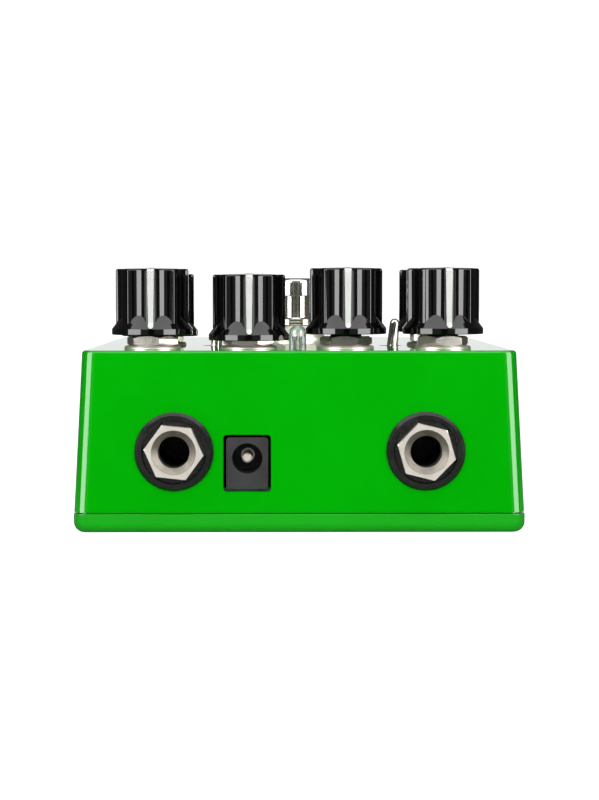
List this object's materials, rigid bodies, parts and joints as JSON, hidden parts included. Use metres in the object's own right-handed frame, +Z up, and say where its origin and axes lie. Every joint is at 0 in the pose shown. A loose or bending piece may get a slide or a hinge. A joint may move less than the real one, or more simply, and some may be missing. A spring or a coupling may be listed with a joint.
{
  "type": "guitar effects pedal",
  "caption": "Gloss-painted metal stompbox with fluted skirted knobs, toggles, indicator lamp and latching footswitch on top, quarter-inch jacks and a power inlet in one end.",
  "frame": {"origin": "centre of the lid's outer face, which the pedal stands on", "axes": "+Z up through the control panel, +Y towards the footswitch, the jack wall faces -Y, +X to the right seen from the jack end"},
  "size_m": [0.097, 0.1224, 0.057],
  "materials": {
    "green_enamel": "gloss",
    "black_phenolic": "gloss",
    "white_inlay": "satin",
    "nickel_plate": "polished",
    "satin_nickel": "satin",
    "bright_chrome": "polished",
    "steel_dark": "satin",
    "turned_steel": "brushed",
    "matte_black_plastic": "matte",
    "black_nylon": "satin",
    "clear_epoxy": "clear",
    "lead_frame_metal": "satin",
    "circuit_board_green": "solder mask",
    "tinned_metal": "tinned",
    "spring_steel": "bright",
    "chip_epoxy": "matte",
    "capacitor_sleeve": "shrink sleeve",
    "film_box": "gloss",
    "wire_jacket": "satin"
  },
  "bodies": {
    "case": {"enclosure_shell": "green_enamel", "bottom_lid": "green_enamel", "lid_screws": "nickel_plate", "pot_cases": "steel_dark", "pot_bushings": "black_nylon", "pot_washers": "nickel_plate", "pot_nuts": "bright_chrome", "lamp_lens": "clear_epoxy", "lamp_lead_frame": "lead_frame_metal", "toggle_cases": "matte_black_plastic", "toggle_bushings": "nickel_plate", "footswitch_case": "matte_black_plastic", "footswitch_bushing": "bright_chrome", "footswitch_nuts": "nickel_plate", "footswitch_washers": "nickel_plate", "footswitch_terminals": "tinned_metal", "jack_washers": "black_nylon", "jack_nuts": "nickel_plate", "jack_bushings": "satin_nickel", "jack_housings": "matte_black_plastic", "jack_contacts": "tinned_metal", "power_inlet_housing": "matte_black_plastic", "power_inlet_pin": "nickel_plate", "jack_board": "circuit_board_green", "main_board": "circuit_board_green", "footswitch_board": "circuit_board_green", "board_header": "matte_black_plastic", "board_pins": "tinned_metal", "amplifier_chips": "chip_epoxy", "electrolytic_capacitors": "capacitor_sleeve", "resistors_and_film_capacitors": "film_box", "footswitch_wires": "wire_jacket"},
    "knob_1": {"control_knob_1": "black_phenolic", "knob_pointer_1": "white_inlay", "knob_set_screw_1": "steel_dark", "pot_shaft_1": "turned_steel"},
    "knob_2": {"control_knob_2": "black_phenolic", "knob_pointer_2": "white_inlay", "knob_set_screw_2": "steel_dark", "pot_shaft_2": "turned_steel"},
    "knob_3": {"control_knob_3": "black_phenolic", "knob_pointer_3": "white_inlay", "knob_set_screw_3": "steel_dark", "pot_shaft_3": "turned_steel"},
    "knob_4": {"control_knob_4": "black_phenolic", "knob_pointer_4": "white_inlay", "knob_set_screw_4": "steel_dark", "pot_shaft_4": "turned_steel"},
    "knob_5": {"control_knob_5": "black_phenolic", "knob_pointer_5": "white_inlay", "knob_set_screw_5": "steel_dark", "pot_shaft_5": "turned_steel"},
    "knob_6": {"control_knob_6": "black_phenolic", "knob_pointer_6": "white_inlay", "knob_set_screw_6": "steel_dark", "pot_shaft_6": "turned_steel"},
    "lever_right": {"toggle_lever_right": "bright_chrome"},
    "lever_left": {"toggle_lever_left": "bright_chrome"},
    "footswitch": {"footswitch_plunger": "bright_chrome", "footswitch_spring": "spring_steel"}
  },
  "joints": [
    {"name": "knob_1_turn", "type": "hinge", "parent": "case", "child": "knob_1", "pos_m": [-0.0323, -0.0432, 0.039], "axis": [0, 0, 1], "range_deg": [-150.8, 149.2]},
    {"name": "knob_2_turn", "type": "hinge", "parent": "case", "child": "knob_2", "pos_m": [-0.011, -0.0432, 0.039], "axis": [0, 0, 1], "range_deg": [-151.1, 148.9]},
    {"name": "knob_3_turn", "type": "hinge", "parent": "case", "child": "knob_3", "pos_m": [0.0104, -0.0432, 0.039], "axis": [0, 0, 1], "range_deg": [-151.4, 148.6]},
    {"name": "knob_4_turn", "type": "hinge", "parent": "case", "child": "knob_4", "pos_m": [0.0318, -0.0432, 0.039], "axis": [0, 0, 1], "range_deg": [-155.4, 144.6]},
    {"name": "knob_5_turn", "type": "hinge", "parent": "case", "child": "knob_5", "pos_m": [-0.0323, -0.0142, 0.039], "axis": [0, 0, 1], "range_deg": [-150, 150]},
    {"name": "knob_6_turn", "type": "hinge", "parent": "case", "child": "knob_6", "pos_m": [0.0318, -0.0142, 0.039], "axis": [0, 0, 1], "range_deg": [-150, 150]},
    {"name": "toggle_right_throw", "type": "hinge", "parent": "case", "child": "lever_right", "pos_m": [0.0214, -0.0205, 0.0338], "axis": [0, 1, 0], "range_deg": [-11, 0]},
    {"name": "toggle_left_throw", "type": "hinge", "parent": "case", "child": "lever_left", "pos_m": [-0.0194, -0.0205, 0.0338], "axis": [0, 1, 0], "range_deg": [-11, 0]},
    {"name": "footswitch_press", "type": "slide", "parent": "case", "child": "footswitch", "axis": [0, 0, -1], "range_m": [0, 0.004], "stiffness_N_per_m": 2000, "springref_m": -0.003, "deforming": ["footswitch_spring"]}
  ]
}
